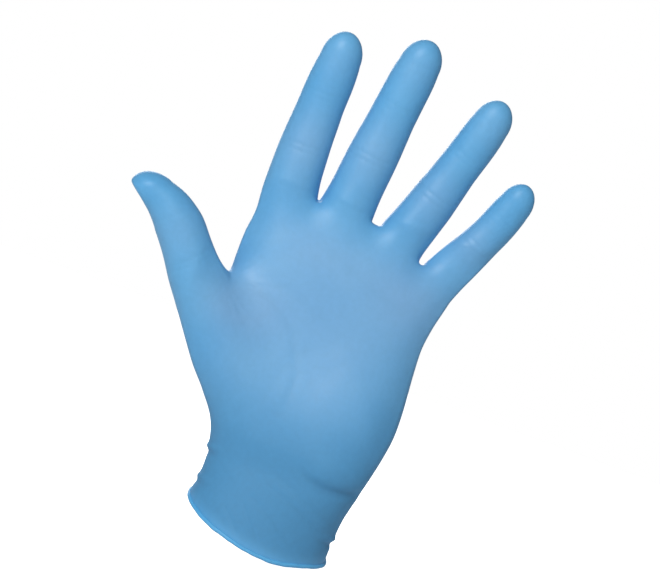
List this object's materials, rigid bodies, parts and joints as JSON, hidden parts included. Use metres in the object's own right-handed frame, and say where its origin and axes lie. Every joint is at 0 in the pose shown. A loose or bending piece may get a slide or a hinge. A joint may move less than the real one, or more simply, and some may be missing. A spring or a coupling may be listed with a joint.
{
  "type": "disposable nitrile glove",
  "caption": "Thin hollow disposable glove for a left hand, worn-hand shape, rolled cuff bead, bends at the wrist, knuckles, thumb and every finger.",
  "frame": {"origin": "on the cuff's axis, near the middle of its opening, at the height where the wearer's hand goes in", "axes": "+Z from the cuff to the fingertips, +X from the thumb side to the little finger, -Y out of the palm"},
  "size_m": [0.1699, 0.053, 0.2408],
  "materials": {
    "film": "satin",
    "bead": "satin"
  },
  "bodies": {
    "cuff": {"cuff_bead": "bead", "cuff_sleeve": "film", "wrist_fold": "film"},
    "palm": {"palm_shell": "film", "thumb_swing_fold": "film", "knuckle_fold": "film"},
    "knuckles": {"knuckle_band": "film", "index_root_fold": "film", "middle_root_fold": "film", "ring_root_fold": "film", "little_root_fold": "film"},
    "thumb_base": {"thumb_base": "film", "thumb_mid_fold": "film"},
    "thumb_mid": {"thumb_mid": "film", "thumb_tip_fold": "film"},
    "thumb_tip": {"thumb_tip": "film"},
    "index_base": {"index_base": "film", "index_mid_fold": "film"},
    "index_mid": {"index_mid": "film", "index_tip_fold": "film"},
    "index_tip": {"index_tip": "film"},
    "middle_base": {"middle_base": "film", "middle_mid_fold": "film"},
    "middle_mid": {"middle_mid": "film", "middle_tip_fold": "film"},
    "middle_tip": {"middle_tip": "film"},
    "ring_base": {"ring_base": "film", "ring_mid_fold": "film"},
    "ring_mid": {"ring_mid": "film", "ring_tip_fold": "film"},
    "ring_tip": {"ring_tip": "film"},
    "little_base": {"little_base": "film", "little_mid_fold": "film"},
    "little_mid": {"little_mid": "film", "little_tip_fold": "film"},
    "little_tip": {"little_tip": "film"}
  },
  "joints": [
    {"name": "wrist_bend", "type": "hinge", "parent": "cuff", "child": "palm", "pos_m": [0.0018, -0.001, 0.036], "axis": [1, 0, 0], "range_deg": [-25, 25], "deforming": ["wrist_fold"]},
    {"name": "knuckle_bend", "type": "hinge", "parent": "palm", "child": "knuckles", "pos_m": [0, -0.002, 0.1275], "axis": [0.9982, 0, -0.0599], "range_deg": [-10, 60], "deforming": ["knuckle_fold"]},
    {"name": "thumb_swing", "type": "hinge", "parent": "palm", "child": "thumb_base", "pos_m": [-0.049, -0.0065, 0.06], "axis": [-0.12, 0, 0.9928], "range_deg": [-10, 15], "deforming": ["thumb_swing_fold"]},
    {"name": "thumb_mid_curl", "type": "hinge", "parent": "thumb_base", "child": "thumb_mid", "pos_m": [-0.06547, -0.01508, 0.10889], "axis": [0.5597, 0.5715, 0.6], "range_deg": [0, 30], "deforming": ["thumb_mid_fold"]},
    {"name": "thumb_tip_curl", "type": "hinge", "parent": "thumb_mid", "child": "thumb_tip", "pos_m": [-0.07901, -0.01817, 0.12388], "axis": [0.4902, 0.571, 0.6585], "range_deg": [0, 42], "deforming": ["thumb_tip_fold"]},
    {"name": "index_root_bend", "type": "hinge", "parent": "knuckles", "child": "index_base", "pos_m": [-0.03662, -0.00261, 0.15748], "axis": [0.9998, 0, 0.0188], "range_deg": [-10, 20], "deforming": ["index_root_fold"]},
    {"name": "index_mid_curl", "type": "hinge", "parent": "index_base", "child": "index_mid", "pos_m": [-0.03697, -0.00304, 0.1724], "axis": [1, 0, 0.0011], "range_deg": [0, 85], "deforming": ["index_mid_fold"]},
    {"name": "index_tip_curl", "type": "hinge", "parent": "index_mid", "child": "index_tip", "pos_m": [-0.03621, -0.00531, 0.19674], "axis": [0.999, 0, -0.0458], "range_deg": [0, 48], "deforming": ["index_tip_fold"]},
    {"name": "middle_root_bend", "type": "hinge", "parent": "knuckles", "child": "middle_base", "pos_m": [-0.0095, -0.00262, 0.15798], "axis": [0.9991, 0, -0.0426], "range_deg": [-10, 20], "deforming": ["middle_root_fold"]},
    {"name": "middle_mid_curl", "type": "hinge", "parent": "middle_base", "child": "middle_mid", "pos_m": [-0.00735, -0.00318, 0.17789], "axis": [0.9934, 0, -0.1145], "range_deg": [0, 85], "deforming": ["middle_mid_fold"]},
    {"name": "middle_tip_curl", "type": "hinge", "parent": "middle_mid", "child": "middle_tip", "pos_m": [-0.00441, -0.0054, 0.20276], "axis": [0.9924, 0, -0.1231], "range_deg": [0, 48], "deforming": ["middle_tip_fold"]},
    {"name": "ring_root_bend", "type": "hinge", "parent": "knuckles", "child": "ring_base", "pos_m": [0.02017, -0.00261, 0.15598], "axis": [0.9874, 0, -0.158], "range_deg": [-10, 20], "deforming": ["ring_root_fold"]},
    {"name": "ring_mid_curl", "type": "hinge", "parent": "ring_base", "child": "ring_mid", "pos_m": [0.02502, -0.00308, 0.17089], "axis": [0.9528, 0, -0.3037], "range_deg": [0, 85], "deforming": ["ring_mid_fold"]},
    {"name": "ring_tip_curl", "type": "hinge", "parent": "ring_mid", "child": "ring_tip", "pos_m": [0.03161, -0.00518, 0.19225], "axis": [0.9591, 0, -0.2832], "range_deg": [0, 48], "deforming": ["ring_tip_fold"]},
    {"name": "little_root_bend", "type": "hinge", "parent": "knuckles", "child": "little_base", "pos_m": [0.04305, -0.0026, 0.14548], "axis": [0.97, 0, -0.2433], "range_deg": [-10, 20], "deforming": ["little_root_fold"]},
    {"name": "little_mid_curl", "type": "hinge", "parent": "little_base", "child": "little_mid", "pos_m": [0.04938, -0.00314, 0.15736], "axis": [0.8877, 0, -0.4604], "range_deg": [0, 85], "deforming": ["little_mid_fold"]},
    {"name": "little_tip_curl", "type": "hinge", "parent": "little_mid", "child": "little_tip", "pos_m": [0.05587, -0.00509, 0.17118], "axis": [0.9251, 0, -0.3798], "range_deg": [0, 48], "deforming": ["little_tip_fold"]}
  ],
  "couplings": [
    {"joint": "index_tip_curl", "follows": "index_mid_curl", "ratio": 0.56},
    {"joint": "middle_tip_curl", "follows": "middle_mid_curl", "ratio": 0.56},
    {"joint": "ring_tip_curl", "follows": "ring_mid_curl", "ratio": 0.56},
    {"joint": "little_tip_curl", "follows": "little_mid_curl", "ratio": 0.56}
  ]
}
